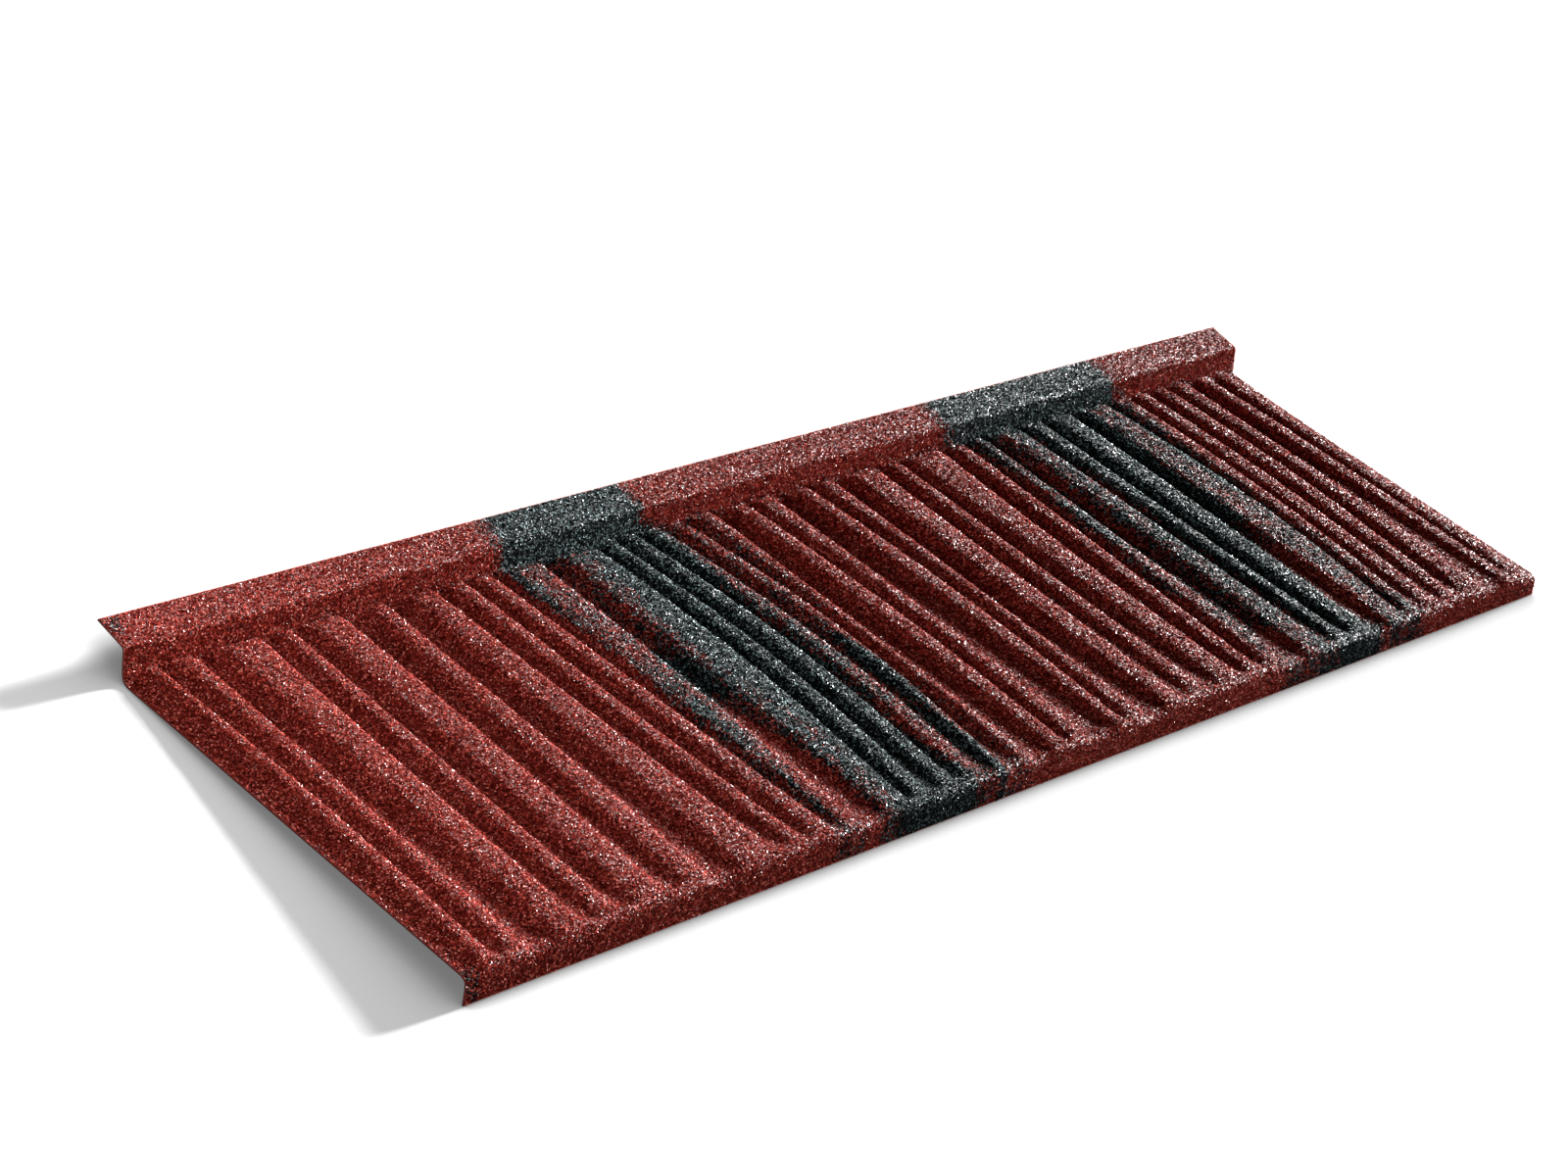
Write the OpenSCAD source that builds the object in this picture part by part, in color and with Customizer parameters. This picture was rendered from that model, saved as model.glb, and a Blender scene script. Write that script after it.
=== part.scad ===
// Pressed steel roofing sheet with a timber shake relief: a flange that
// lies on the batten, a step down to the pan, and a nose that turns down
// over the sheet below. It is stored as it lies on a level floor, on the
// edge of its nose and the heel of its step.

/* [Sheet] */
// Length of the sheet from end to end
sheet_length = 1330; // [500:1:2600]
// Thickness of the steel with its stone coat
sheet_t = 1.8; // [0.8:0.1:2.4]
// Depth of the pan from the heel of the step to the nose
pan_depth = 358; // [260:1:480]
// Width of the flange that lies on the batten
flange_w = 31.2; // [18:0.2:60]
// Rise of the flange from the step to its back edge
flange_rise = 4.3; // [0:0.1:10]
// Height of the step above the pan
step_h = 24.8; // [18:0.2:40]
// How far the step leans back over its height
step_lean = 5.9; // [2:0.1:12]
// Height of the nose below the pan
nose_h = 20; // [14:0.2:36]
// How far the nose leans forward over its height
nose_lean = 3.1; // [1:0.1:8]

/* [Bends] */
// Radius of the bend between flange and step
brow_r = 5; // [3:0.5:8]
// Radius of the bend between step and pan
heel_r = 7; // [4:0.5:10]
// Radius of the bend between pan and nose
nose_r = 7; // [4:0.5:9]

/* [Shake relief] */
// Height of the highest ridges at the heel
ridge_back = 9; // [4:0.1:12]
// Height of the highest ridges at the nose
ridge_front = 5; // [2:0.1:8]
// Width of the deep channel between the tops of two shakes
channel_w = 24; // [18:0.5:40]
// Width of the steep wall on each side of a ridge
wall_w = 4; // [2.5:0.1:5]
// Height of a ridge's left shoulder, as a share of its right edge
shoulder_share = 0.92; // [0.7:0.01:1]
// Width of the plain band between the channels and the nose
band_w = 8; // [8:0.5:24]
// Height of the plain band above the channels
band_rise = 4; // [2:0.1:6]
// Height of the band where a channel meets it, as a share of its rise
channel_lip = 0.35; // [0:0.05:1]
// Length over which a channel runs out at each end
run_out = 8; // [5:0.5:16]
// Flat strip at each end of the sheet, for the side lap
lap_strip = 9; // [6:0.5:14]
// Drop of the right end, where it lies over the next sheet
end_drop = 2.4; // [0:0.1:4]

/* [Hidden] */

BEND_STEPS = 2;
PAN_STEPS = 7;

// The shakes from left to right. Each has the width of its top, what its
// channel differs from channel_w, the level of its valleys as a share of the
// ridge height, and its ridges. A ridge has its left shoulder and its right
// edge from the shake's left, how far each drifts towards the nose, how far
// each bows at mid pan, and its height as a share.
SHAKES = [
    [61.5, -0.5, 0.05, [[22, 28.5, -3.5, 1, 2.5, 5, 0.8], [45, 61.5, -1.5, -4.5, 3.5, 0.5, 1]]],
    [159.5, -2, 0.1, [[0, 38, 3.5, -9, 2.5, -2, 1], [55, 67.5, -7.5, -6, 0.5, 0, 0.8],
        [82.5, 115, 0, -6, 2, 2, 1], [144, 159.5, -11.5, -7.5, -1.5, 1, 0.9]]],
    [136.5, 0.5, 0.15, [[0, 26, 5, 15.5, -0.5, -2, 1], [44, 59, 17, 13.5, -2, -2, 0.85],
        [71, 85.5, 17, 18.5, 1, 0.5, 0.85], [101, 136.5, 17, -7.5, -2, 2.5, 1]]],
    [174, 0.5, 0.2, [[0, 37, 2, -13, 1.5, 11.5, 0.9], [50, 59.5, -12.5, -11, 11, 14.5, 0.85],
        [73, 84.5, -3.5, -3.5, 11.5, 14.5, 0.85], [98, 112, -1, 0, 14, 14, 0.85],
        [126.5, 139, 4.5, -3, 16.5, 17.5, 0.85], [153.5, 174, 6, -3.5, 9, 1, 1]]],
    [47, 5.5, 0.2, [[0, 15.5, 2, 1, 4, 7, 0.9], [26.5, 47, 1, -5, 8.5, 3, 1]]],
    [45, -0.5, 0.2, [[0, 14.5, 4, -0.5, 3, 8, 0.9], [28, 45, -3, -5, 7.5, 1.5, 1]]],
    [177.5, -1.5, 0.2, [[0, 33, 5.5, -10, -0.5, 0, 1], [52.5, 64.5, -8, -7.5, -1, 0, 0.8],
        [77, 119, 4.5, -13.5, 1, -4.5, 1], [137, 151, -16, -17.5, 0, 0.5, 0.85],
        [165.5, 177.5, -17.5, -8.5, 2, 1, 1]]],
    [102, -3.5, 0.2, [[0, 27, 1, 2, 4, 1, 1], [43, 61.5, 6.5, -1, 2, -0.5, 0.85],
        [75.5, 102, 1.5, -7, -0.5, 1.5, 1]]],
    [152, 3, 0.3, [[0, 32.5, 1, -11.5, 3, 16.5, 0.9], [48.5, 66.5, -13, -21, 13, 12.5, 0.85],
        [81.5, 93.5, -18.5, -18, 7, 11.5, 0.85], [110.5, 124, -17, -19, 8.5, 12, 0.85],
        [134.5, 152, -10, -2.5, 9.5, 4.5, 1]]],
    [41.5, 2, 0.1, [[0, 12, 6, 3, 1.5, 5, 0.6], [29.5, 41.5, 0, 0, 0, 0, 0.5]]]
];

function mix(a, b, t) = a + (b - a) * t;
function ease(t) = let (u = min(1, max(0, t))) u * u * (3 - 2 * u);
function unit(v) = v / norm(v);

// Points of a round bend at corner b of the path a, b, c
function bend(a, b, c, r) =
    let (u = unit(a - b), v = unit(c - b), half = acos(u * v) / 2,
         centre = b + unit(u + v) * r / sin(half), turn = 180 - 2 * half,
         s = b + u * r / tan(half) - centre, e = b + v * r / tan(half) - centre)
    [for (i = [0:BEND_STEPS]) let (k = i / BEND_STEPS)
        centre + (s * sin((1 - k) * turn) + e * sin(k * turn)) / sin(turn)];

// The section of the sheet from back to front, as corners [y, z]
TIP = [step_lean + flange_w, step_h + flange_rise];
BROW = [step_lean, step_h];
HEEL = [0, 0];
NOSE = [-pan_depth, 0];
HEM = [-pan_depth - nose_lean, -nose_h];

brow_bend = bend(TIP, BROW, HEEL, brow_r);
heel_bend = bend(BROW, HEEL, NOSE, heel_r);
nose_bend = bend(HEEL, NOSE, HEM, nose_r);
pan_back = heel_bend[BEND_STEPS][0] - run_out;
pan_front = NOSE[0] + band_w + run_out;

// Rows of the sheet as [y, z, how far the relief is up, how far it has
// become the plain band]
ROWS = concat(
    [[TIP[0], TIP[1], 0, 0]],
    [for (p = brow_bend) [p[0], p[1], 0, 0]],
    [for (i = [0:BEND_STEPS]) let (p = heel_bend[i])
        [p[0], p[1], ease(0.15 + 0.7 * i / BEND_STEPS), 0]],
    [for (i = [0:PAN_STEPS]) [mix(pan_back, pan_front, i / PAN_STEPS), 0, 1, 0]],
    [[NOSE[0] + band_w, 0, 1, 0.9]],
    [for (i = [0:BEND_STEPS]) let (p = nose_bend[i])
        [p[0], p[1], 1 - 0.5 * i / BEND_STEPS, 1]],
    [[HEM[0], HEM[1], 0, 1]]
);

// Where shake i starts, with the shakes used again on a longer sheet
function shake(i) = SHAKES[i % len(SHAKES)];
function starts(x = 0, i = 0) = x > sheet_length ? [] :
    concat([x], starts(x + shake(i)[0] + channel_w + shake(i)[1], i + 1));
SHAKE_X = starts();

// Lines that run from back to front along the sheet, four for each ridge: its
// left foot, left shoulder, right edge and right foot. Each is [x at the heel,
// drift, bow, height share, share of the band]. The outer feet of a shake lie
// in its channels, where the band is low.
LINES = [for (i = [0:len(SHAKE_X) - 1]) let (s = shake(i)) for (k = [0:len(s[3]) - 1])
    let (r = s[3][k], left = SHAKE_X[i] + r[0], right = SHAKE_X[i] + r[1],
         first = k == 0, last = k == len(s[3]) - 1)
    each [
        [left - wall_w, r[2], r[4], first ? 0 : s[2], first ? channel_lip : 1],
        [left, r[2], r[4], r[6] * shoulder_share, 1],
        [right, r[3], r[5], r[6], 1],
        [right + wall_w, r[3], r[5], last ? 0 : s[2], last ? channel_lip : 1]
    ]];
function span(l) = l[0] + max(0, l[1]) + max(0, l[2]);
function fade(x) = ease(min(x, sheet_length - x) / (4 * lap_strip));

// Lines of the whole sheet with its two ends, each with its drop
COLS = concat([[0, 0, 0, 0, 0, 0]],
    [for (l = LINES) if (l[0] > lap_strip && span(l) < sheet_length - lap_strip)
        [l[0], l[1], l[2], l[3], l[4] * fade(l[0]), 0]],
    [[sheet_length, 0, 0, 0, 0, end_drop]]);

// The face of the sheet at line c and row r
function along(y) = min(1, max(0, y / NOSE[0]));
function face(c, r) =
    let (t = along(r[0]), ridge = mix(ridge_back, ridge_front, t),
         lift = (mix(c[3] * ridge, c[4] * band_rise, r[3]) - c[5] * ease(4 * t)) * r[2])
    [c[0] + c[1] * t + c[2] * sin(180 * t), r[0], r[1] + lift];

nc = len(COLS);
nr = len(ROWS);
FACE = [for (r = ROWS) [for (c = COLS) face(c, r)]];

// The underside lies one thickness below the face, square to it
function step_dir(a, b, c) = unit((a == b ? [0, 0, 0] : unit(b - a)) +
                                  (b == c ? [0, 0, 0] : unit(c - b)));
function square_to(r, c) =
    let (p = FACE[r][c],
         n = cross(step_dir(FACE[max(0, r - 1)][c], p, FACE[min(nr - 1, r + 1)][c]),
                   step_dir(FACE[r][max(0, c - 1)], p, FACE[r][min(nc - 1, c + 1)])))
    unit(c == 0 || c == nc - 1 ? [0, n[1], n[2]] : n);
UNDER = [for (r = [0:nr - 1]) [for (c = [0:nc - 1])
    FACE[r][c] - sheet_t * square_to(r, c)]];

// At rest the hem and the heel touch the floor, so the sheet is turned by
// the slope of the line that both share
hem = UNDER[nr - 1][0];
rest_tilt = min([for (r = [0:nr - 2]) let (p = UNDER[r][0] - hem) atan2(p[2], p[1])]);
function rested(p) = let (q = p - hem)
    [q[0] - sheet_length / 2, q[1] * cos(rest_tilt) + q[2] * sin(rest_tilt),
     q[2] * cos(rest_tilt) - q[1] * sin(rest_tilt)];
rest_y = [for (p = concat([for (r = FACE) r[0]], [for (r = UNDER) r[0]])) rested(p)[1]];
centre_y = (min(rest_y) + max(rest_y)) / 2;
floor_z = min([for (r = UNDER) for (c = [0, nc - 1]) rested(r[c])[2]]);

// Edge of the grid, clockwise from above, as indices of its points
RIM = concat([for (c = [0:nc - 2]) c], [for (r = [0:nr - 2]) r * nc + nc - 1],
    [for (c = [nc - 1:-1:1]) (nr - 1) * nc + c], [for (r = [nr - 1:-1:1]) r * nc]);

module roof_sheet() {
    n = nc * nr;
    points = [for (g = [FACE, UNDER]) for (r = g) for (p = r)
        rested(p) - [0, centre_y, floor_z]];
    faces = concat(
        [for (r = [0:nr - 2]) for (c = [0:nc - 2]) let (a = r * nc + c, d = a + nc)
            each [[a, a + 1, d + 1], [a, d + 1, d],
                  [n + a, n + d + 1, n + a + 1], [n + a, n + d, n + d + 1]]],
        [for (i = [0:len(RIM) - 1]) let (a = RIM[i], b = RIM[(i + 1) % len(RIM)])
            each [[b, a, n + a], [b, n + a, n + b]]]);
    color("firebrick") polyhedron(points, faces);
}

roof_sheet();
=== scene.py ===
"""Looks of a pressed steel roofing sheet with a stone chip face.

The sheet lies at rest on a pale floor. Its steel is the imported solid, rounded
by subdivision, and its stone chips are scattered over the face in strips.
"""

import math

import bmesh
import bpy
from mathutils import Matrix, Vector


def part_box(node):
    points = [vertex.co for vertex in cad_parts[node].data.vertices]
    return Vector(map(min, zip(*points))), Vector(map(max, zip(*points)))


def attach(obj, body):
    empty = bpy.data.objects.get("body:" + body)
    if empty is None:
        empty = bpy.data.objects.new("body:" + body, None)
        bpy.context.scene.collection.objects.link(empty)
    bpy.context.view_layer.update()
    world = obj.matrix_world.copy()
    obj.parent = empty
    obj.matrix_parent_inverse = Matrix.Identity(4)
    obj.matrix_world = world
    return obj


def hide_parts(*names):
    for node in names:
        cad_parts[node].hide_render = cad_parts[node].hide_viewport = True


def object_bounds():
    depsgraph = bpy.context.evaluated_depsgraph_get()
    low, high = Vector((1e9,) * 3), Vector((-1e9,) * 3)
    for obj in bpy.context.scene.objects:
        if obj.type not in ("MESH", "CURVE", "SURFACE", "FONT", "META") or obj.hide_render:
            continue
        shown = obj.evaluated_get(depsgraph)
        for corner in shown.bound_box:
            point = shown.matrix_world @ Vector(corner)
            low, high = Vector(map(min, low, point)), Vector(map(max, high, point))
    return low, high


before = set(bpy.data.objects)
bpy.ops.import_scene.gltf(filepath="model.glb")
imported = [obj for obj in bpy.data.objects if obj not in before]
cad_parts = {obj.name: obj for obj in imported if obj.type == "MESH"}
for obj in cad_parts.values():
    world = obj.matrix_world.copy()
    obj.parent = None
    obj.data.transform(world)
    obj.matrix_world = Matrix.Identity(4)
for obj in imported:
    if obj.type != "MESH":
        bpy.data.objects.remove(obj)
cad_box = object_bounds()

STONE, PRIMER, CUT_EDGE, COATED_END = 0, 1, 2, 3  # material slots of the sheet
HALF_LENGTH = 0.665
LENGTH = 2 * HALF_LENGTH
HEEL_Y = 0.161  # foot of the step
CHIP_STAND = 0.0005  # how far the chips stand above their bed
RIDGE_BEND = 0.6  # bends sharper than this stay crisp, in radians
RIDGE_CREASE = 0.25
CHIP_SHEEN = 0.022  # specular level of the chips; the bed has half of it
BED_SCALE = 850.0  # chips of the bed to a metre
BED_ROUGHNESS = 0.40
# Painted shade: the bed is darkened between the chips, in place of their shadows
BED_SHADE_KEEP = 0.8  # how much of its colour the bed keeps between the chips
CHIP_GLOSS = 0.28  # roughness of the facets that a chip broke along
PAN_SLOPE = 0.05225  # fall of the pan from its nose to the step, at rest
PAN_AT_HEEL = 0.0021  # height of the pan's face at the foot of the step
# Painted shade: chips on a channel's floor and on the nose are darkened
CHANNEL_SHADE_KEEP = 0.9  # how much of its colour a red chip keeps on a channel's floor
EDGE_WANDER = 0.055  # how far the streaks push a band's edge about, in all
FLOOR_GREY = 0.12  # what the floor throws back
# The floor's colour for the camera has a painted contact shadow near the sheet
FLOOR_SEEN, FLOOR_IN_PAINTED_SHADE, FLOOR_GLOW = 0.42, 0.04, 0.18  # the floor for the camera
FLOOR_SHADE_REACH = 0.14
STRIPS = 5  # the chips are split in strips, to keep each piece small
STRIP_MARGIN = 0.01


# Node trees

def add_node(tree, kind, x=0, y=0, **values):
    node = tree.nodes.new(kind)
    node.location = (x, y)
    for name, value in values.items():
        setattr(node, name, value)
    return node


def feed(tree, node, **inputs):
    """Sets or links a node's inputs by name, with spaces as underscores."""
    for name, value in inputs.items():
        socket = next(s for s in node.inputs
                      if s.name == name.replace("_", " ") and s.enabled)
        if isinstance(value, bpy.types.NodeSocket):
            tree.links.new(value, socket)
        else:
            socket.default_value = value
    return node


def maths(tree, operation, *values, x=0, y=0, clamp=False):
    node = add_node(tree, "ShaderNodeMath", x, y, operation=operation,
                    use_clamp=clamp)
    for socket, value in zip(node.inputs, values):
        if isinstance(value, bpy.types.NodeSocket):
            tree.links.new(value, socket)
        else:
            socket.default_value = value
    return node.outputs[0]


def ramp(tree, factor, stops, x=0, y=0):
    node = add_node(tree, "ShaderNodeValToRGB", x, y)
    elements = node.color_ramp.elements
    node.color_ramp.interpolation = "LINEAR"
    while len(elements) < len(stops):
        elements.new(0.5)
    for element, (place, colour) in zip(elements, stops):
        element.position = place
        element.color = (*colour, 1)
    tree.links.new(factor, node.inputs[0])
    return node.outputs[0]


def grey(value):
    return (value, value, value)


def new_group(name, inputs, outputs):
    group = bpy.data.node_groups.new(name, "ShaderNodeTree")
    for label, kind, value in inputs:
        socket = group.interface.new_socket(
            label, in_out="INPUT", socket_type="NodeSocket" + kind)
        if value is not None:
            socket.default_value = value
    for label, kind in outputs:
        group.interface.new_socket(
            label, in_out="OUTPUT", socket_type="NodeSocket" + kind)
    return (group, add_node(group, "NodeGroupInput", -1200, 0),
            add_node(group, "NodeGroupOutput", 1200, 0))


def use_group(tree, group, x=0, y=0, **inputs):
    node = add_node(tree, "ShaderNodeGroup", x, y, node_tree=group)
    return feed(tree, node, **inputs)


# Where the two dark bands lie, as stops over the length of the sheet: the
# share of dark chips at each place, in metres from the left end. Above a share
# of 1 the clumps of red chips between them disappear.
SOLID = 1.6
BANDS_ON_PAN = [
    (0.355, 0.0), (0.366, 0.05), (0.372, 0.50), (0.400, 0.45), (0.424, 0.50),
    (0.432, 0.80), (0.446, 0.88), (0.462, 1.6), (0.522, 1.6), (0.535, 0.80),
    (0.552, 0.55), (0.570, 0.50), (0.585, 0.25), (0.600, 0.10), (0.606, 0.0),
    (0.915, 0.0), (0.930, 0.15), (0.938, 0.55), (0.955, 0.80), (0.972, 0.65),
    (0.986, 0.80), (0.998, 0.95), (1.004, 0.80), (1.016, 0.80), (1.023, 1.6),
    (1.098, 1.6), (1.101, 0.68), (1.122, 0.68), (1.132, 0.80), (1.141, 0.40),
    (1.150, 0.10),
    (1.160, 0.0)]
BANDS_ON_FLANGE = [
    (0.352, 0.0), (0.372, 0.9), (0.385, 1.6), (0.500, 1.6), (0.512, 0.85),
    (0.535, 0.0),
    (0.890, 0.0), (0.905, 0.9), (0.920, 1.6), (1.110, 1.6), (1.125, 0.9),
    (1.145, 0.0)]

# Patches in the bands and at the left corners: the centre from the left end and
# from the foot of the step, the half widths both ways, all in metres, and how
# much darker
PATCHES = [
    (0.372, -0.030, 0.006, 0.045, 0.4), (0.385, -0.205, 0.011, 0.060, 0.45),
    (0.391, -0.320, 0.010, 0.050, -0.5), (0.383, -0.300, 0.004, 0.050, 0.4),
    (0.412, -0.160, 0.020, 0.045, 0.8), (0.412, -0.290, 0.018, 0.085, -1.3),
    (0.437, -0.100, 0.014, 0.080, -0.2), (0.532, -0.300, 0.013, 0.070, -0.7),
    (0.560, -0.045, 0.020, 0.065, -0.25), (0.572, -0.215, 0.011, 0.065, 0.9),
    (0.590, -0.190, 0.008, 0.050, -0.6), (0.562, -0.310, 0.010, 0.065, 0.9),
    (0.586, -0.035, 0.009, 0.045, 0.2),
    (0.936, -0.025, 0.007, 0.045, 0.3), (0.935, -0.140, 0.010, 0.050, 0.5),
    (0.927, -0.215, 0.007, 0.055, 0.6), (0.940, -0.220, 0.005, 0.050, -0.4),
    (0.933, -0.300, 0.009, 0.045, 0.3), (0.961, -0.330, 0.014, 0.030, -1.3),
    (0.968, -0.075, 0.007, 0.050, -0.6), (0.966, -0.150, 0.007, 0.050, -0.7),
    (0.985, -0.330, 0.014, 0.030, -0.3), (1.006, -0.105, 0.009, 0.050, -0.5),
    (1.066, -0.315, 0.005, 0.040, -0.9), (1.088, -0.285, 0.018, 0.130, -1.8),
    (1.112, -0.180, 0.012, 0.050, -0.3), (1.134, -0.070, 0.009, 0.100, 0.8),
    (1.150, -0.020, 0.010, 0.045, 0.4), (0.006, -0.354, 0.009, 0.010, 0.5),
    (0.006, 0.030, 0.012, 0.013, 0.5)]


def dark_band_group():
    """Share of dark chips at a place, so that chips can be chosen by it."""
    group, inp, out = new_group(
        "dark bands", [("Place", "Vector", None), ("Chance", "Float", 0.5)],
        [("Dark", "Float")])
    place = inp.outputs["Place"]
    split = add_node(group, "ShaderNodeSeparateXYZ", -1000, 0)
    group.links.new(place, split.inputs[0])
    # Long streaks that follow the ridges push the edges of a band about
    streaks = add_node(group, "ShaderNodeMapping", -1000, -300)
    streaks.inputs["Scale"].default_value = (1, 0.16, 1)
    group.links.new(place, streaks.inputs["Vector"])
    wander = add_node(group, "ShaderNodeTexNoise", -800, -300)
    feed(group, wander, Vector=streaks.outputs[0], Scale=42.0, Detail=3.0,
         Roughness=0.6)
    clumps = add_node(group, "ShaderNodeMapping", -1000, -500)
    clumps.inputs["Scale"].default_value = (1, 0.45, 1)
    group.links.new(place, clumps.inputs["Vector"])
    blotch = add_node(group, "ShaderNodeTexNoise", -800, -500)
    feed(group, blotch, Vector=clumps.outputs[0], Scale=150.0, Detail=3.0,
         Roughness=0.65)
    shift = maths(group, "MULTIPLY_ADD", wander.outputs[0], EDGE_WANDER,
                  -EDGE_WANDER / 2, x=-600, y=-300)
    along = maths(group, "ADD", split.outputs[0], HALF_LENGTH, x=-800, y=100)
    along = maths(group, "ADD", along, shift, x=-600, y=100)
    share = maths(group, "DIVIDE", along, LENGTH, x=-450, y=100)
    on_pan, on_flange = (
        ramp(group, share, [(x / LENGTH, grey(v / SOLID)) for x, v in stops],
             -250, y)
        for stops, y in ((BANDS_ON_PAN, 200), (BANDS_ON_FLANGE, -50)))
    back = maths(group, "MULTIPLY_ADD", split.outputs[1], 100.0,
                 -100.0 * (HEEL_Y - 0.004), x=-450, y=400, clamp=True)
    on_pan = maths(group, "MULTIPLY", on_pan, SOLID, x=-50, y=250)
    on_flange = maths(group, "MULTIPLY", on_flange, SOLID, x=-50, y=-50)
    mix = add_node(group, "ShaderNodeMix", 0, 100, data_type="FLOAT")
    group.links.new(back, mix.inputs[0])
    group.links.new(on_pan, mix.inputs[2])
    group.links.new(on_flange, mix.inputs[3])
    base = mix.outputs[0]
    for i, (x, y, half_x, half_y, darker) in enumerate(PATCHES):
        x, y = x - HALF_LENGTH, y + HEEL_Y
        off = add_node(group, "ShaderNodeVectorMath", -250, 500 + 150 * i,
                       operation="MULTIPLY_ADD")
        group.links.new(place, off.inputs[0])
        off.inputs[1].default_value = (1 / half_x, 1 / half_y, 0)
        off.inputs[2].default_value = (-x / half_x, -y / half_y, 0)
        square = add_node(group, "ShaderNodeVectorMath", -100, 500 + 150 * i,
                          operation="DOT_PRODUCT")
        group.links.new(off.outputs[0], square.inputs[0])
        group.links.new(off.outputs[0], square.inputs[1])
        inside = maths(group, "SUBTRACT", 1.0, square.outputs["Value"],
                       x=50, y=500 + 150 * i, clamp=True)
        base = maths(group, "MULTIPLY_ADD", inside, darker, base,
                     x=200, y=500 + 150 * i)
    spread = maths(group, "MULTIPLY_ADD", blotch.outputs[0], 1.6, -0.8,
                   x=-400, y=-500)
    banded = maths(group, "MULTIPLY", base, 4.0, x=150, y=-150, clamp=True)
    wanted = maths(group, "MULTIPLY_ADD", spread, banded, base, x=300, y=0)
    dark = maths(group, "LESS_THAN", inp.outputs["Chance"], wanted,
                 x=600, y=0)
    group.links.new(dark, out.inputs["Dark"])
    return group


def chip_colour_group(bands):
    """Colour of a stone chip from its place and two chances of its own."""
    group, inp, out = new_group(
        "chip colour",
        [("Place", "Vector", None), ("Tone", "Float", 0.5),
         ("Chance", "Float", 0.5)],
        [("Color", "Color"), ("Sheen", "Color")])
    band = use_group(group, bands, -700, -200, Place=inp.outputs["Place"],
                     Chance=inp.outputs["Chance"])
    red = ramp(group, inp.outputs["Tone"],
               [(0.0, (0.040, 0.003, 0.002)), (0.45, (0.120, 0.010, 0.007)),
                (0.75, (0.280, 0.028, 0.019)), (0.92, (0.600, 0.090, 0.066)),
                (1.0, (0.920, 0.320, 0.260))], -500, 200)
    dark = ramp(group, inp.outputs["Tone"],
                [(0.0, (0.002, 0.003, 0.003)), (0.60, (0.008, 0.010, 0.010)),
                 (0.84, (0.050, 0.067, 0.069)), (1.0, (0.500, 0.680, 0.700))],
                -500, -50)
    mix = add_node(group, "ShaderNodeMix", 0, 0, data_type="RGBA")
    group.links.new(band.outputs["Dark"], mix.inputs[0])
    group.links.new(red, mix.inputs[6])
    group.links.new(dark, mix.inputs[7])
    # Painted shade: darker colour on the floor of a channel and on the nose, dark chips
    # most
    split = add_node(group, "ShaderNodeSeparateXYZ", -1000, -500)
    group.links.new(inp.outputs["Place"], split.inputs[0])
    fall = maths(group, "MULTIPLY_ADD", split.outputs[1], PAN_SLOPE,
                 -PAN_AT_HEEL - PAN_SLOPE * HEEL_Y, x=-800, y=-500)
    above = maths(group, "ADD", split.outputs[2], fall, x=-650, y=-500)
    tone = add_node(group, "ShaderNodeMapRange", -450, -500,
                    interpolation_type="SMOOTHSTEP")
    deepest_painted_shade = maths(group, "MULTIPLY_ADD", band.outputs["Dark"], -0.55, CHANNEL_SHADE_KEEP,
                  x=-650, y=-700)
    feed(group, tone, Value=above, From_Min=0.0, From_Max=0.005,
         To_Min=deepest_painted_shade, To_Max=1.0)
    painted_shade_colour = add_node(group, "ShaderNodeVectorMath", 300, 0, operation="SCALE")
    group.links.new(mix.outputs[2], painted_shade_colour.inputs[0])
    group.links.new(tone.outputs["Result"], painted_shade_colour.inputs["Scale"])
    group.links.new(painted_shade_colour.outputs[0], out.inputs["Color"])
    sheen = add_node(group, "ShaderNodeMix", 300, -300, data_type="RGBA")
    group.links.new(band.outputs["Dark"], sheen.inputs[0])
    sheen.inputs[6].default_value = (1.0, 0.55, 0.48, 1)
    sheen.inputs[7].default_value = (0.70, 0.97, 1.0, 1)
    group.links.new(sheen.outputs[2], out.inputs["Sheen"])
    return group


def new_material(name):
    material = bpy.data.materials.new(name)
    material.use_nodes = True
    tree = material.node_tree
    shader = next(n for n in tree.nodes if n.type == "BSDF_PRINCIPLED")
    return material, tree, shader


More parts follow.
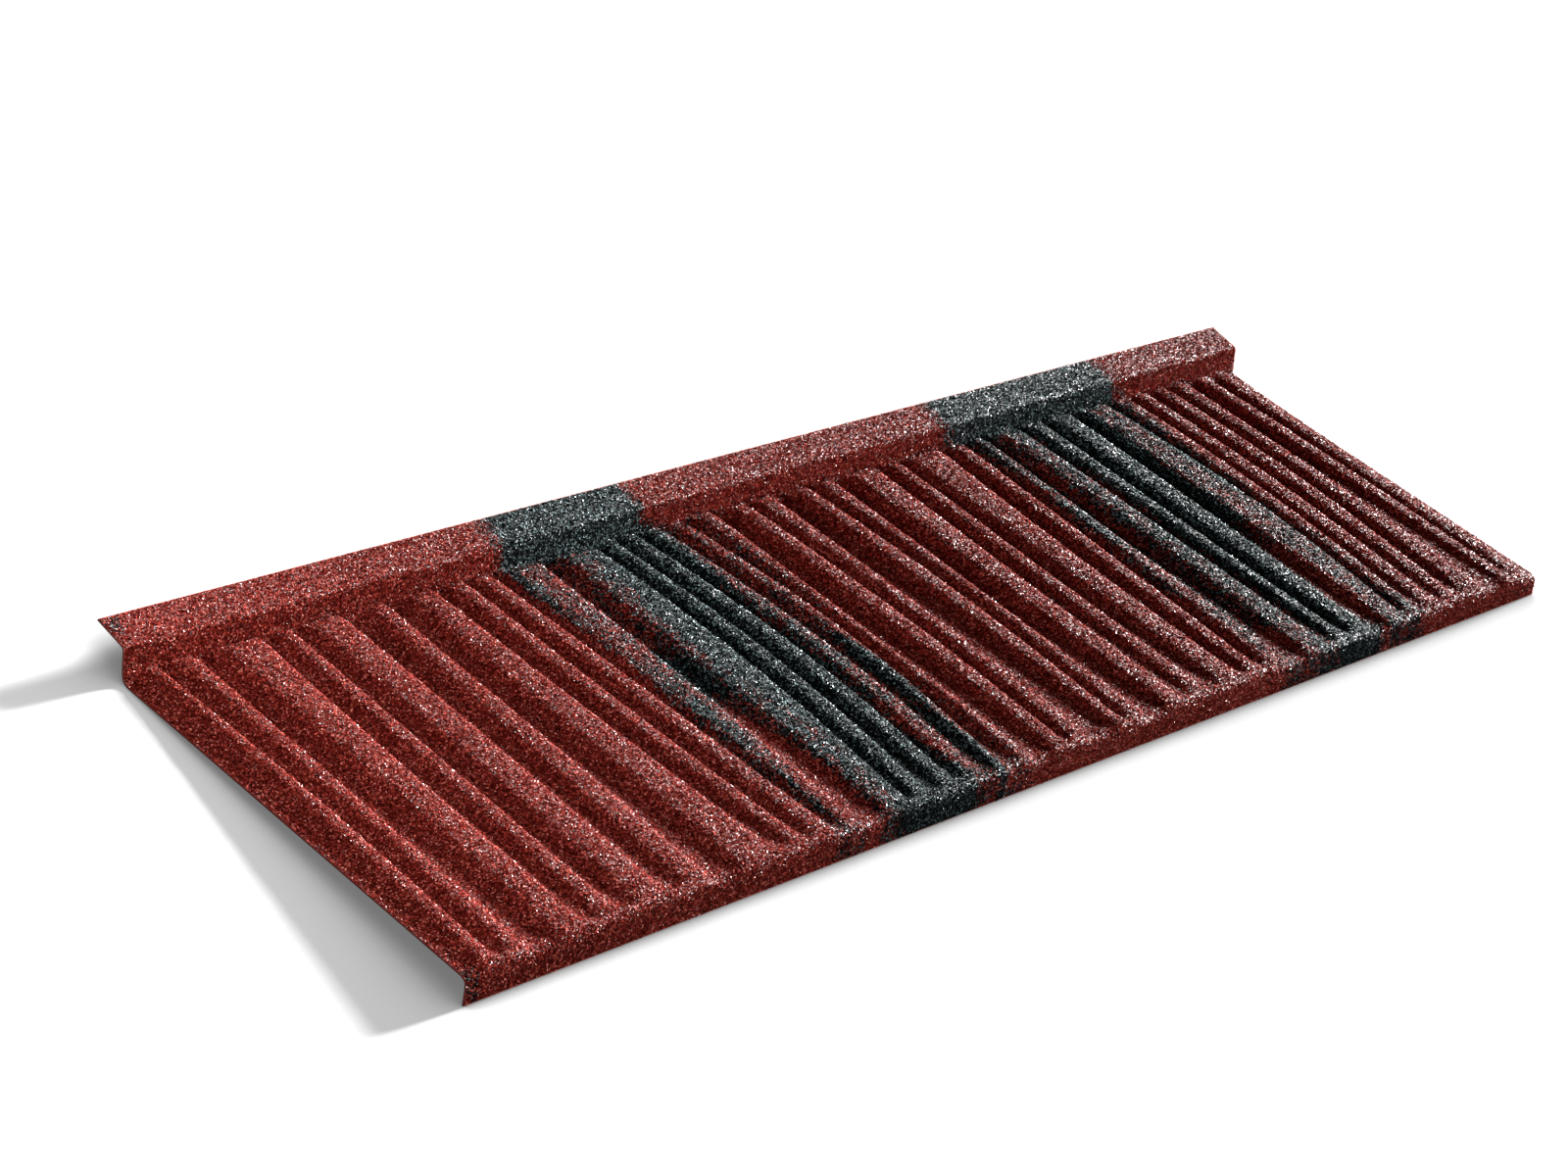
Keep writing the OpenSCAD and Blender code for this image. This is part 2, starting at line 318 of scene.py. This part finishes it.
def stone_coat(chip_colour):
    """The bed of fine chips under the scattered ones."""
    material, tree, shader = new_material("stone coat")
    place = add_node(tree, "ShaderNodeTexCoord", -1600, 0).outputs["Object"]
    cells = add_node(tree, "ShaderNodeTexVoronoi", -1300, 0)
    feed(tree, cells, Vector=place, Scale=BED_SCALE, Randomness=1.0)
    chances = add_node(tree, "ShaderNodeSeparateColor", -1100, 0)
    tree.links.new(cells.outputs["Color"], chances.inputs[0])
    colour = use_group(tree, chip_colour, -800, 100, Place=place,
                       Tone=chances.outputs[0], Chance=chances.outputs[1])
    # Painted shade: the bed keeps only part of its colour, in place of the chips' shadows
    gap_shade = add_node(tree, "ShaderNodeVectorMath", -400, 100,
                        operation="SCALE")
    tree.links.new(colour.outputs["Color"], gap_shade.inputs[0])
    gap_shade.inputs["Scale"].default_value = BED_SHADE_KEEP
    tree.links.new(gap_shade.outputs[0], shader.inputs["Base Color"])
    tree.links.new(colour.outputs["Sheen"], shader.inputs["Specular Tint"])
    # Each chip has a facet of its own: its height falls off to one side
    lean = add_node(tree, "ShaderNodeVectorMath", -1100, -300,
                    operation="MULTIPLY_ADD")
    tree.links.new(cells.outputs["Color"], lean.inputs[0])
    lean.inputs[1].default_value = (2, 2, 2)
    lean.inputs[2].default_value = (-1, -1, -1)
    offset = add_node(tree, "ShaderNodeVectorMath", -1100, -500,
                      operation="SUBTRACT")
    tree.links.new(place, offset.inputs[0])
    tree.links.new(cells.outputs["Position"], offset.inputs[1])
    facet = add_node(tree, "ShaderNodeVectorMath", -900, -400,
                     operation="DOT_PRODUCT")
    tree.links.new(lean.outputs[0], facet.inputs[0])
    tree.links.new(offset.outputs[0], facet.inputs[1])
    dome = maths(tree, "MULTIPLY_ADD", cells.outputs["Distance"], -0.0006,
                 facet.outputs["Value"], x=-700, y=-400)
    bump = add_node(tree, "ShaderNodeBump", -400, -300)
    feed(tree, bump, Strength=1.0, Distance=1.0, Height=dome)
    tree.links.new(bump.outputs[0], shader.inputs["Normal"])
    shader.inputs["Roughness"].default_value = BED_ROUGHNESS
    shader.inputs["Specular IOR Level"].default_value = CHIP_SHEEN / 2
    return material


def plain_material(name, colour, roughness):
    material, tree, shader = new_material(name)
    place = add_node(tree, "ShaderNodeTexCoord", -1200, 0).outputs["Object"]
    mottle = add_node(tree, "ShaderNodeTexNoise", -900, 0)
    feed(tree, mottle, Vector=place, Scale=60.0, Detail=5.0, Roughness=0.6)
    low = tuple(c * 0.82 for c in colour)
    high = tuple(min(1, c * 1.15) for c in colour)
    shade = ramp(tree, mottle.outputs[0], [(0.3, low), (0.7, high)], -600, 0)
    tree.links.new(shade, shader.inputs["Base Color"])
    shader.inputs["Roughness"].default_value = roughness
    return material


# The sheet

def finish_of(face, low, high):
    """Which finish a face of the solid has; the coat runs over its left end."""
    n = face.normal
    points = [v.co for v in face.verts]
    if all(abs(abs(p.x) - HALF_LENGTH) < 2e-5 for p in points):
        return CUT_EDGE if points[0].x > 0 else COATED_END
    if n.y > 0.9 and min(p.y for p in points) > high[1] - 0.0004:
        return CUT_EDGE
    if n.z < -0.8 and max(p.z for p in points) < low[2] + 0.0008:
        return CUT_EDGE
    return STONE if n.z - 0.35 * n.y > 0 else PRIMER


def pressed_sheet(finishes):
    low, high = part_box("roof_sheet")
    shape = bmesh.new()
    shape.from_mesh(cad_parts["roof_sheet"].data)
    bmesh.ops.remove_doubles(shape, verts=shape.verts, dist=2e-6)
    bmesh.ops.join_triangles(
        shape, faces=shape.faces, angle_face_threshold=math.radians(50),
        angle_shape_threshold=math.radians(70))
    shape.normal_update()
    for face in shape.faces:
        face.material_index = finish_of(face, low, high)
        face.smooth = True
    crease = shape.edges.layers.float.new("crease_edge")
    for edge in shape.edges:
        kinds = [f.material_index for f in edge.link_faces]
        bend = edge.calc_face_angle()
        ends = kinds.count(CUT_EDGE) + kinds.count(COATED_END)
        if ends == 1 or ends == 2 and bend > 1:
            edge[crease] = 1.0
        elif bend > RIDGE_BEND:
            edge[crease] = RIDGE_CREASE
    mesh = bpy.data.meshes.new("pressed_sheet_cage")
    shape.to_mesh(mesh)
    shape.free()
    cage = bpy.data.objects.new("pressed_sheet_cage", mesh)
    bpy.context.collection.objects.link(cage)
    for material in finishes:
        mesh.materials.append(material)
    rounding = cage.modifiers.new("rounding", "SUBSURF")
    rounding.levels = rounding.render_levels = 2
    rounding.use_limit_surface = False
    sheet = solid_copy(cage, "pressed_sheet")
    make_room_for_chips(sheet.data)
    return sheet


def make_room_for_chips(mesh):
    """Sinks the stone face by the height that the chips stand above it."""
    stone_points = set()
    for face in mesh.polygons:
        if face.material_index == STONE:
            stone_points.update(face.vertices)
    normals = [v.normal.copy() for v in mesh.vertices]
    for i in stone_points:
        mesh.vertices[i].co -= normals[i] * CHIP_STAND
    mesh.update()


# Stone chips, scattered by Geometry Nodes

def chip_scatter():
    """Scatters angular chips on a face, each with a place, tone and chance."""
    tree = bpy.data.node_groups.new("stone chips", "GeometryNodeTree")
    for label, kind, value in (
            ("Bed", "NodeSocketGeometry", None),
            ("Chips per m2", "NodeSocketFloat", 440000.0),
            ("Chip Radius", "NodeSocketFloat", 0.00100),
            ("Chip Height", "NodeSocketFloat", 0.0002),
            ("Tilt", "NodeSocketFloat", 1.0),
            ("Seed", "NodeSocketInt", 1),
            ("Low Corner", "NodeSocketVector", tuple(cad_box[0])),
            ("High Corner", "NodeSocketVector", tuple(cad_box[1])),
            ("Finish", "NodeSocketMaterial", None)):
        socket = tree.interface.new_socket(label, in_out="INPUT",
                                           socket_type=kind)
        if value is not None:
            socket.default_value = value
    tree.interface.new_socket("Chips", in_out="OUTPUT",
                              socket_type="NodeSocketGeometry")
    inp = add_node(tree, "NodeGroupInput", -1400, 0)
    out = add_node(tree, "NodeGroupOutput", 1400, 0)
    link = tree.links.new
    scatter = add_node(tree, "GeometryNodeDistributePointsOnFaces", -1000, 200)
    link(inp.outputs["Bed"], scatter.inputs["Mesh"])
    link(inp.outputs["Chips per m2"], scatter.inputs["Density"])
    link(inp.outputs["Seed"], scatter.inputs["Seed"])
    chip = add_node(tree, "GeometryNodeMeshCone", -1000, -200,
                    fill_type="NONE")
    chip.inputs["Vertices"].default_value = 3
    link(inp.outputs["Chip Radius"], chip.inputs["Radius Bottom"])
    link(inp.outputs["Chip Height"], chip.inputs["Depth"])
    chip.inputs["Radius Top"].default_value = 0.0
    flat = add_node(tree, "GeometryNodeSetShadeSmooth", -800, -200)
    link(chip.outputs["Mesh"], flat.inputs["Geometry"])
    next(s for s in flat.inputs if s.name == "Shade Smooth").default_value = False

    def chance(seed, low, high, kind="FLOAT", y=0):
        node = add_node(tree, "FunctionNodeRandomValue", -800, y,
                        data_type=kind)
        sockets = [s for s in node.inputs if s.enabled]
        sockets[0].default_value, sockets[1].default_value = low, high
        own = add_node(tree, "ShaderNodeMath", -1000, y, operation="ADD")
        link(inp.outputs["Seed"], own.inputs[0])
        own.inputs[1].default_value = seed
        link(own.outputs[0], next(s for s in sockets if s.name == "Seed"))
        return next(s for s in node.outputs if s.enabled)

    lean = add_node(tree, "ShaderNodeVectorMath", -600, -400,
                    operation="SCALE")
    link(chance(10, (-1, -1, -5), (1, 1, 5), "FLOAT_VECTOR", -400),
         lean.inputs[0])
    link(inp.outputs["Tilt"], lean.inputs["Scale"])
    lean_turn = add_node(tree, "FunctionNodeEulerToRotation", -450, -400)
    link(lean.outputs[0], lean_turn.inputs[0])
    turn = add_node(tree, "FunctionNodeRotateRotation", -300, -200,
                    rotation_space="LOCAL")
    link(scatter.outputs["Rotation"], turn.inputs[0])
    link(lean_turn.outputs[0], turn.inputs[1])
    place = add_node(tree, "GeometryNodeInstanceOnPoints", 0, 100)
    link(scatter.outputs["Points"], place.inputs["Points"])
    link(flat.outputs[0], place.inputs["Instance"])
    link(turn.outputs[0], place.inputs["Rotation"])
    link(chance(20, (0.65, 0.65, 0.7), (1.45, 1.45, 2.0), "FLOAT_VECTOR", -600),
         place.inputs["Scale"])
    where = add_node(tree, "GeometryNodeInputPosition", 100, -200)
    flow = place.outputs[0]
    for i, (label, kind, value) in enumerate((
            ("chip_place", "FLOAT_VECTOR", where.outputs[0]),
            ("chip_tone", "FLOAT", chance(30, 0.0, 1.0, y=-800)),
            ("chip_chance", "FLOAT", chance(40, 0.0, 1.0, y=-1000)))):
        keep = add_node(tree, "GeometryNodeStoreNamedAttribute",
                        250 + 200 * i, 100, data_type=kind, domain="INSTANCE")
        keep.inputs["Name"].default_value = label
        link(flow, keep.inputs["Geometry"])
        link(value, next(s for s in keep.inputs
                         if s.name == "Value" and s.enabled))
        flow = keep.outputs[0]
    real = add_node(tree, "GeometryNodeRealizeInstances", 850, 100)
    link(flow, real.inputs[0])
    # At the rims no chip stands out past the sheet
    inside = where.outputs[0]
    for i, (operation, corner) in enumerate((("MAXIMUM", "Low Corner"),
                                             ("MINIMUM", "High Corner"))):
        limit = add_node(tree, "ShaderNodeVectorMath", 500 + 150 * i, -300,
                         operation=operation)
        link(inside, limit.inputs[0])
        link(inp.outputs[corner], limit.inputs[1])
        inside = limit.outputs[0]
    held = add_node(tree, "GeometryNodeSetPosition", 1000, 100)
    link(real.outputs[0], held.inputs["Geometry"])
    link(inside, held.inputs["Position"])
    finish = add_node(tree, "GeometryNodeSetMaterial", 1150, 100)
    link(held.outputs[0], finish.inputs["Geometry"])
    link(inp.outputs["Finish"], finish.inputs["Material"])
    link(finish.outputs[0], out.inputs["Chips"])
    return tree


def chip_strip(number, sheet, tree, finish, left, right):
    """The chips on one strip of the face, from x = left to x = right."""
    shape = bmesh.new()
    shape.from_mesh(sheet.data)
    unwanted = [f for f in shape.faces if f.material_index != STONE
                or not left <= f.calc_center_median().x < right]
    bmesh.ops.delete(shape, geom=unwanted, context="FACES")
    mesh = bpy.data.meshes.new("chip_bed")
    shape.to_mesh(mesh)
    shape.free()
    bed = bpy.data.objects.new("chip_bed", mesh)
    bpy.context.collection.objects.link(bed)
    scatter = bed.modifiers.new("stone chips", "NODES")
    scatter.node_group = tree
    sockets = {item.name: item.identifier
               for item in tree.interface.items_tree
               if item.item_type == "SOCKET" and item.in_out == "INPUT"}
    scatter[sockets["Seed"]] = 7 * number
    scatter[sockets["Finish"]] = finish
    return solid_copy(bed, "stone_chips_%d" % number)


def loose_chip(chip_colour):
    """A chip of its own colour all over, a little glossy where it broke."""
    material, tree, shader = new_material("stone chip")
    reads = {}
    for i, label in enumerate(("chip_place", "chip_tone", "chip_chance")):
        reads[label] = add_node(tree, "ShaderNodeAttribute", -900, -200 * i,
                                attribute_name=label)
    colour = use_group(tree, chip_colour, -500, 0,
                       Place=reads["chip_place"].outputs["Vector"],
                       Tone=reads["chip_tone"].outputs["Fac"],
                       Chance=reads["chip_chance"].outputs["Fac"])
    tree.links.new(colour.outputs["Color"], shader.inputs["Base Color"])
    tree.links.new(colour.outputs["Sheen"], shader.inputs["Specular Tint"])
    gloss = maths(tree, "MULTIPLY_ADD", reads["chip_tone"].outputs["Fac"],
                  -0.06, CHIP_GLOSS + 0.03, x=-300, y=-300)
    tree.links.new(gloss, shader.inputs["Roughness"])
    shader.inputs["Specular IOR Level"].default_value = CHIP_SHEEN
    return material


def solid_copy(source, name):
    """A plain mesh of what an object's modifiers make, in its place."""
    bpy.context.view_layer.update()
    ready = source.evaluated_get(bpy.context.evaluated_depsgraph_get())
    mesh = bpy.data.meshes.new_from_object(ready)
    mesh.name = name
    copy = bpy.data.objects.new(name, mesh)
    bpy.context.collection.objects.link(copy)
    bpy.data.objects.remove(source)
    return copy


# Floor, light and camera

def studio():
    bpy.ops.mesh.primitive_plane_add(size=14)
    floor = bpy.context.object
    floor.name = "floor"
    material, tree, shader = new_material("studio floor")
    shader.inputs["Roughness"].default_value = 1.0
    shader.inputs["Specular IOR Level"].default_value = 0.0
    # Seen directly the floor is a paler grey, which the key light takes to white
    seen = add_node(tree, "ShaderNodeLightPath", -700, 0)
    colour = add_node(tree, "ShaderNodeMix", -400, 0, data_type="RGBA")
    tree.links.new(seen.outputs["Is Camera Ray"], colour.inputs[0])
    colour.inputs[6].default_value = (*grey(FLOOR_GREY), 1)
    # Painted shade: near the sheet the floor darkens softly, as under a wide bright
    # ceiling
    painted_contact_shade = add_node(tree, "ShaderNodeAmbientOcclusion", -1100, -300, samples=16)
    painted_contact_shade.inputs["Distance"].default_value = FLOOR_SHADE_REACH
    open_sky = maths(tree, "POWER", painted_contact_shade.outputs["AO"], 3.0, x=-900, y=-300)
    shade = maths(tree, "MULTIPLY_ADD", open_sky, FLOOR_SEEN, FLOOR_IN_PAINTED_SHADE,
                  x=-700, y=-300)
    pale = maths(tree, "MULTIPLY", seen.outputs["Is Camera Ray"], FLOOR_GLOW,
                 x=-400, y=-500)
    tree.links.new(pale, shader.inputs["Emission Strength"])
    tree.links.new(shade, colour.inputs[7])
    tree.links.new(colour.outputs[2], shader.inputs["Base Color"])
    floor.data.materials.append(material)
    world = bpy.data.worlds.new("studio")
    bpy.context.scene.world = world
    world.use_nodes = True
    nodes, links = world.node_tree.nodes, world.node_tree.links
    fill = nodes["Background"]
    fill.inputs[0].default_value = (1, 1, 1, 1)
    fill.inputs[1].default_value = 0.02
    # What the chips mirror has a strength of its own
    sheen = nodes.new("ShaderNodeBackground")
    sheen.inputs[1].default_value = 0.02
    white = nodes.new("ShaderNodeBackground")
    white.inputs[1].default_value = 1.0
    seen = nodes.new("ShaderNodeLightPath")
    shaded = nodes.new("ShaderNodeMixShader")
    links.new(seen.outputs["Is Glossy Ray"], shaded.inputs[0])
    links.new(fill.outputs[0], shaded.inputs[1])
    links.new(sheen.outputs[0], shaded.inputs[2])
    chosen = nodes.new("ShaderNodeMixShader")
    links.new(seen.outputs["Is Camera Ray"], chosen.inputs[0])
    links.new(shaded.outputs[0], chosen.inputs[1])
    links.new(white.outputs[0], chosen.inputs[2])
    links.new(chosen.outputs[0], nodes["World Output"].inputs[0])


def sun(name, towards, strength, softness):
    """Light from one side; softness is the angle it fills, in degrees."""
    light = bpy.data.lights.new(name, "SUN")
    light.energy = strength
    light.angle = math.radians(softness)
    ob = bpy.data.objects.new(name, light)
    ob.rotation_euler = (-Vector(towards)).to_track_quat("-Z", "Y").to_euler()
    bpy.context.collection.objects.link(ob)


def soft_light(name, place, aim, size, watts):
    """A round lamp that the chips do not mirror, aimed from its place."""
    light = bpy.data.lights.new(name, "AREA")
    light.shape = "DISK"
    light.size = size
    light.energy = watts
    ob = bpy.data.objects.new(name, light)
    ob.location = place
    ob.rotation_euler = (Vector(aim) - Vector(place)).to_track_quat(
        "-Z", "Y").to_euler()
    ob.visible_camera = False
    ob.visible_glossy = False
    bpy.context.collection.objects.link(ob)


def camera():
    """The photograph's view: from the left and in front, turned a little."""
    right = Vector((0.654579, -0.684438, 0.321046))
    down = Vector((-0.198584, -0.565424, -0.800537))
    forward = Vector((0.729445, 0.460261, -0.506034))
    eye = bpy.data.cameras.new("camera")
    eye.lens = 91.34
    eye.sensor_width = 36
    ob = bpy.data.objects.new("camera", eye)
    turn = Matrix((right, -down, -forward)).transposed().to_4x4()
    ob.matrix_world = Matrix.Translation((-2.34531, -1.36813, 1.57918)) @ turn
    bpy.context.collection.objects.link(ob)
    bpy.context.scene.camera = ob


bpy.context.scene.view_settings.view_transform = "Standard"
bands = dark_band_group()
chip_colour = chip_colour_group(bands)
stone = stone_coat(chip_colour)
primer = plain_material("primer underside", (0.30, 0.29, 0.27), 0.5)
cut_edge = plain_material("cut edge", (0.60, 0.11, 0.05), 0.5)
coated_end = plain_material("coated end", (0.12, 0.014, 0.010), 0.6)
sheet = pressed_sheet([stone, primer, cut_edge, coated_end])
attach(sheet, "root")
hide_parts("roof_sheet")
chip = loose_chip(chip_colour)
scatter = chip_scatter()
first, reach = -HALF_LENGTH - STRIP_MARGIN, LENGTH + 2 * STRIP_MARGIN
for i in range(STRIPS):
    strip = chip_strip(i + 1, sheet, scatter, chip, first + reach * i / STRIPS,
                       first + reach * (i + 1) / STRIPS)
    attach(strip, "root")
studio()
sun("key", (0.973, 0.055, 0.20), 40.0, 9.0)
sun("low front", (-0.25, -0.96, 0.10), 1.5, 6.0)
soft_light("top", (-0.92, 0.05, 0.60), (-0.88, 0.0, 0.0), 0.5, 4.3)
camera()
